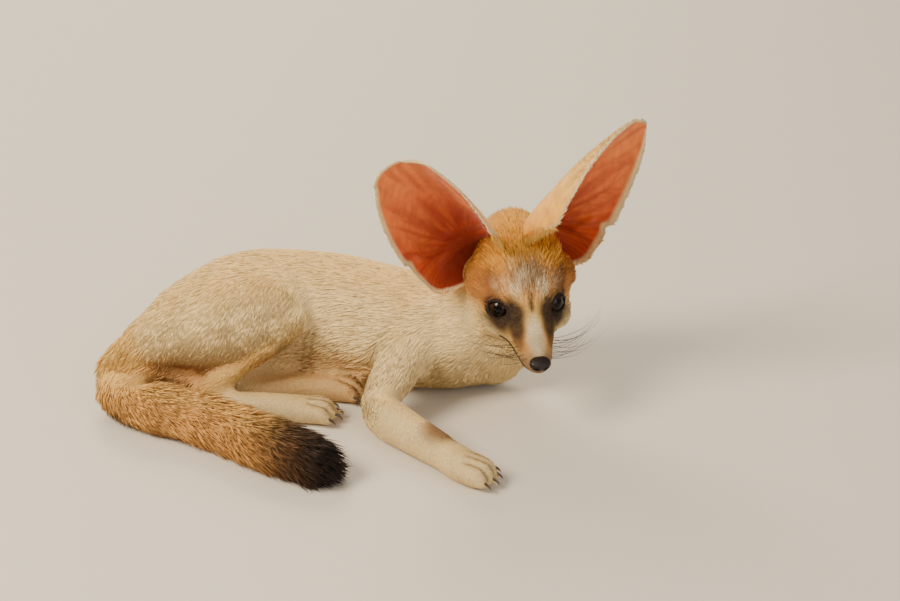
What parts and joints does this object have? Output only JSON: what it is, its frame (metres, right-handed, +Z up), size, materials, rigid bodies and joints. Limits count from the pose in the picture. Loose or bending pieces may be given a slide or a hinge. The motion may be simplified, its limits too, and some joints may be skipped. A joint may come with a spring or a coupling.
{
  "type": "fennec fox",
  "caption": "Still, life-size small desert fox at rest, curled with its head raised, very large ears, a foreleg stretched out and a bushy tail laid round its feet.",
  "frame": {"origin": "on the floor under the middle of the animal's box", "axes": "+Z up, +X towards the head end of the body, -Y towards the side that the fox faces"},
  "size_m": [0.337, 0.201, 0.1844],
  "materials": {
    "coat": "dense soft fur, pale cream to sandy, warmer on the back and belly",
    "tail_coat": "long golden-orange fur, dark brown and nearly black over its last third",
    "ear": "thin warm skin inside with fine veins, short sandy fur behind, pale fringe on the rim",
    "nose": "moist pebbled dark leather",
    "eye": "very dark brown, wet gloss",
    "claw": "dark horn, slightly glossy",
    "whisker": "stiff dark hairs"
  },
  "bodies": {
    "root": {"head": "coat", "nose": "nose", "eye_right": "eye", "eye_left": "eye", "ear_right": "ear", "ear_left": "ear", "neck": "coat", "torso": "coat", "thigh_right": "coat", "upper_arm_right": "coat", "thigh_left": "coat", "shank_left": "coat", "foot_left": "coat", "upper_arm_left": "coat", "forearm_left": "coat", "forepaw_left": "coat", "shank_right": "coat", "foot_right": "coat", "forearm_right": "coat", "forepaw_right": "coat", "tail_base": "tail_coat", "tail_brush": "tail_coat"}
  },
  "joints": []
}
